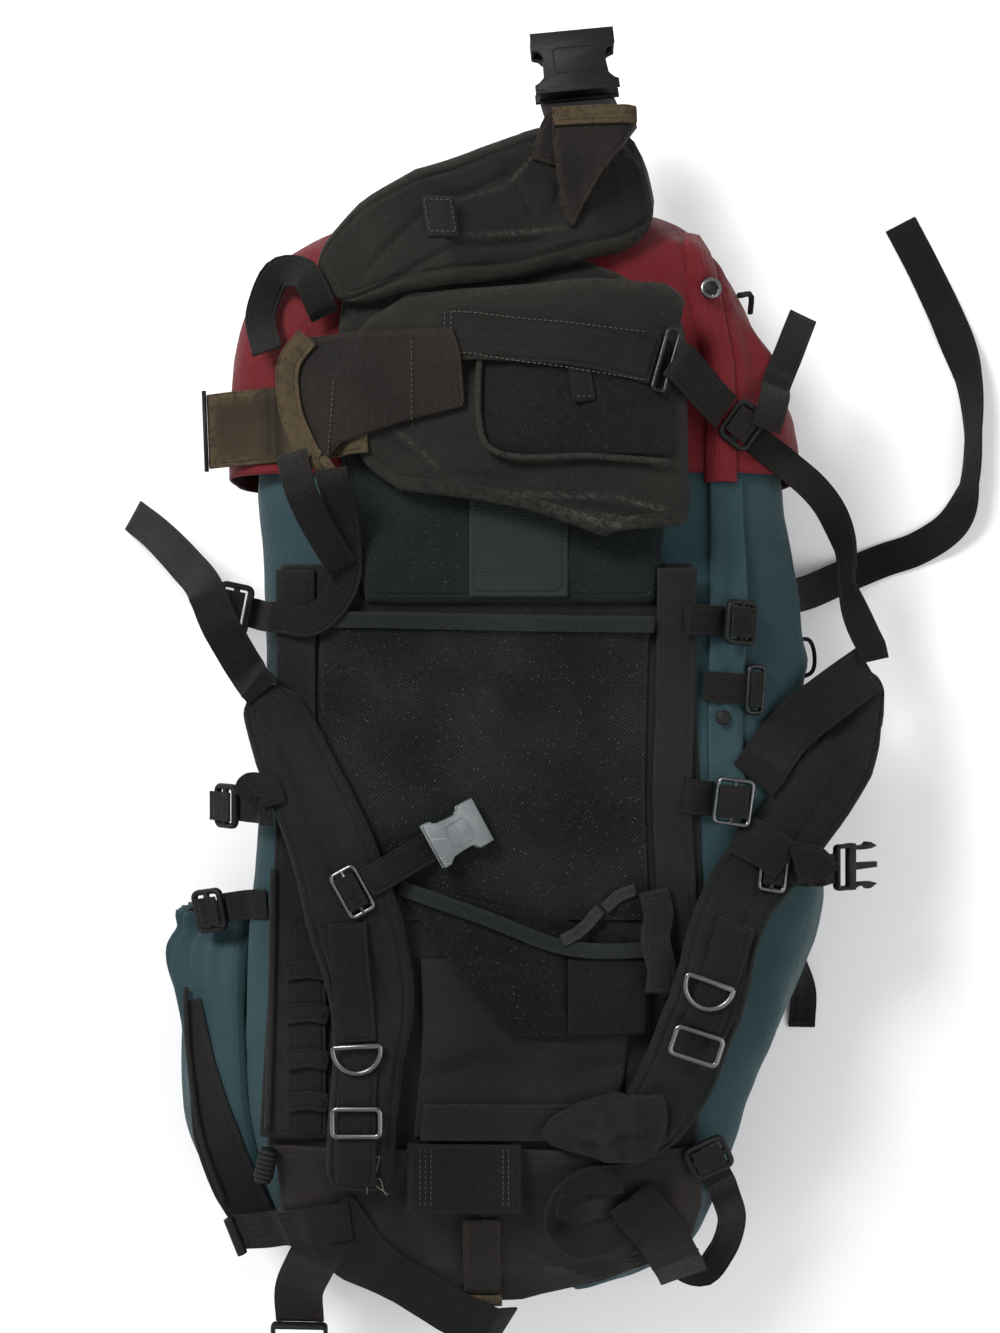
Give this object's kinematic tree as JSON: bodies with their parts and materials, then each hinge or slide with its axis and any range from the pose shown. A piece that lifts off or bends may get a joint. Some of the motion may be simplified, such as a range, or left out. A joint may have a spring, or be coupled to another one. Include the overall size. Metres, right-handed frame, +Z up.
{
  "type": "trekking rucksack",
  "caption": "Worn trekking rucksack lying on its front: hollow cloth bag with a red lower compartment, padded hip belt, shoulder pads, webbing, buckles and loose straps.",
  "frame": {"origin": "middle of the ground that the pack covers, at the level it rests on", "axes": "+Z up out of the harness side, +Y towards the hip belt end, +X to the right in a view from above"},
  "size_m": [0.637, 0.9283, 0.1866],
  "materials": {
    "teal_cloth": "worn coated cloth",
    "red_cloth": "worn coated cloth",
    "black_cloth": "padded pack cloth, scuffed",
    "mesh_cloth": "fine knitted mesh",
    "black_webbing": "ribbed webbing",
    "faded_webbing": "ribbed webbing, faded brown",
    "black_plastic": "moulded",
    "grey_plastic": "moulded, silver grey",
    "steel": "bare wire"
  },
  "bodies": {
    "root": {"main_bag": "teal_cloth", "bottom_compartment": "red_cloth", "back_panel": "black_cloth", "storm_flap": "teal_cloth", "lumbar_pad": "black_cloth", "stay_sleeve_left": "black_cloth", "stay_sleeve_right": "black_cloth", "mesh_panel": "mesh_cloth", "yoke_panel": "black_cloth", "mesh_flap": "mesh_cloth", "lid_fabric": "black_cloth", "shoulder_pad_left": "black_cloth", "shoulder_pad_right": "black_cloth", "hip_wing_right": "black_cloth", "hip_wing_left": "black_cloth", "wing_strap": "black_webbing", "wing_slider": "steel", "belt_webbing_left": "faded_webbing", "belt_webbing_right": "faded_webbing", "belt_socket": "black_plastic", "wing_loop_left": "black_webbing", "belt_root_strap": "black_webbing", "anchor_strap_left": "black_webbing", "ladder_lock_left": "black_plastic", "lower_strap_left": "black_webbing", "chest_strap_left": "faded_webbing", "chest_slider_left": "steel", "chest_socket": "grey_plastic", "load_strap_left": "black_webbing", "d_ring_left": "steel", "link_ring_left": "steel", "chest_strap_right": "faded_webbing", "chest_slider_right": "steel", "chest_plug": "black_plastic", "d_ring_right": "steel", "link_ring_right": "steel", "lower_strap_right": "black_webbing", "ladder_lock_right": "steel", "stabiliser_strap": "black_webbing", "stabiliser_slider": "black_plastic", "stabiliser_tail": "black_webbing", "long_tail": "black_webbing", "side_strap_right": "black_webbing", "side_lock_right": "black_plastic", "side_loop_low": "black_webbing", "side_lock_low": "black_plastic", "side_strap_left": "black_webbing", "side_lock_left": "black_plastic", "side_tail_right": "black_webbing", "side_pocket": "teal_cloth", "cord_lock": "black_plastic", "haul_patch": "black_webbing", "haul_loop": "black_webbing", "lid_tab": "faded_webbing", "lid_strap_left": "faded_webbing", "lid_buckle": "black_plastic", "lid_strap_diagonal": "black_webbing", "pull_cord": "black_webbing"}
  },
  "joints": []
}
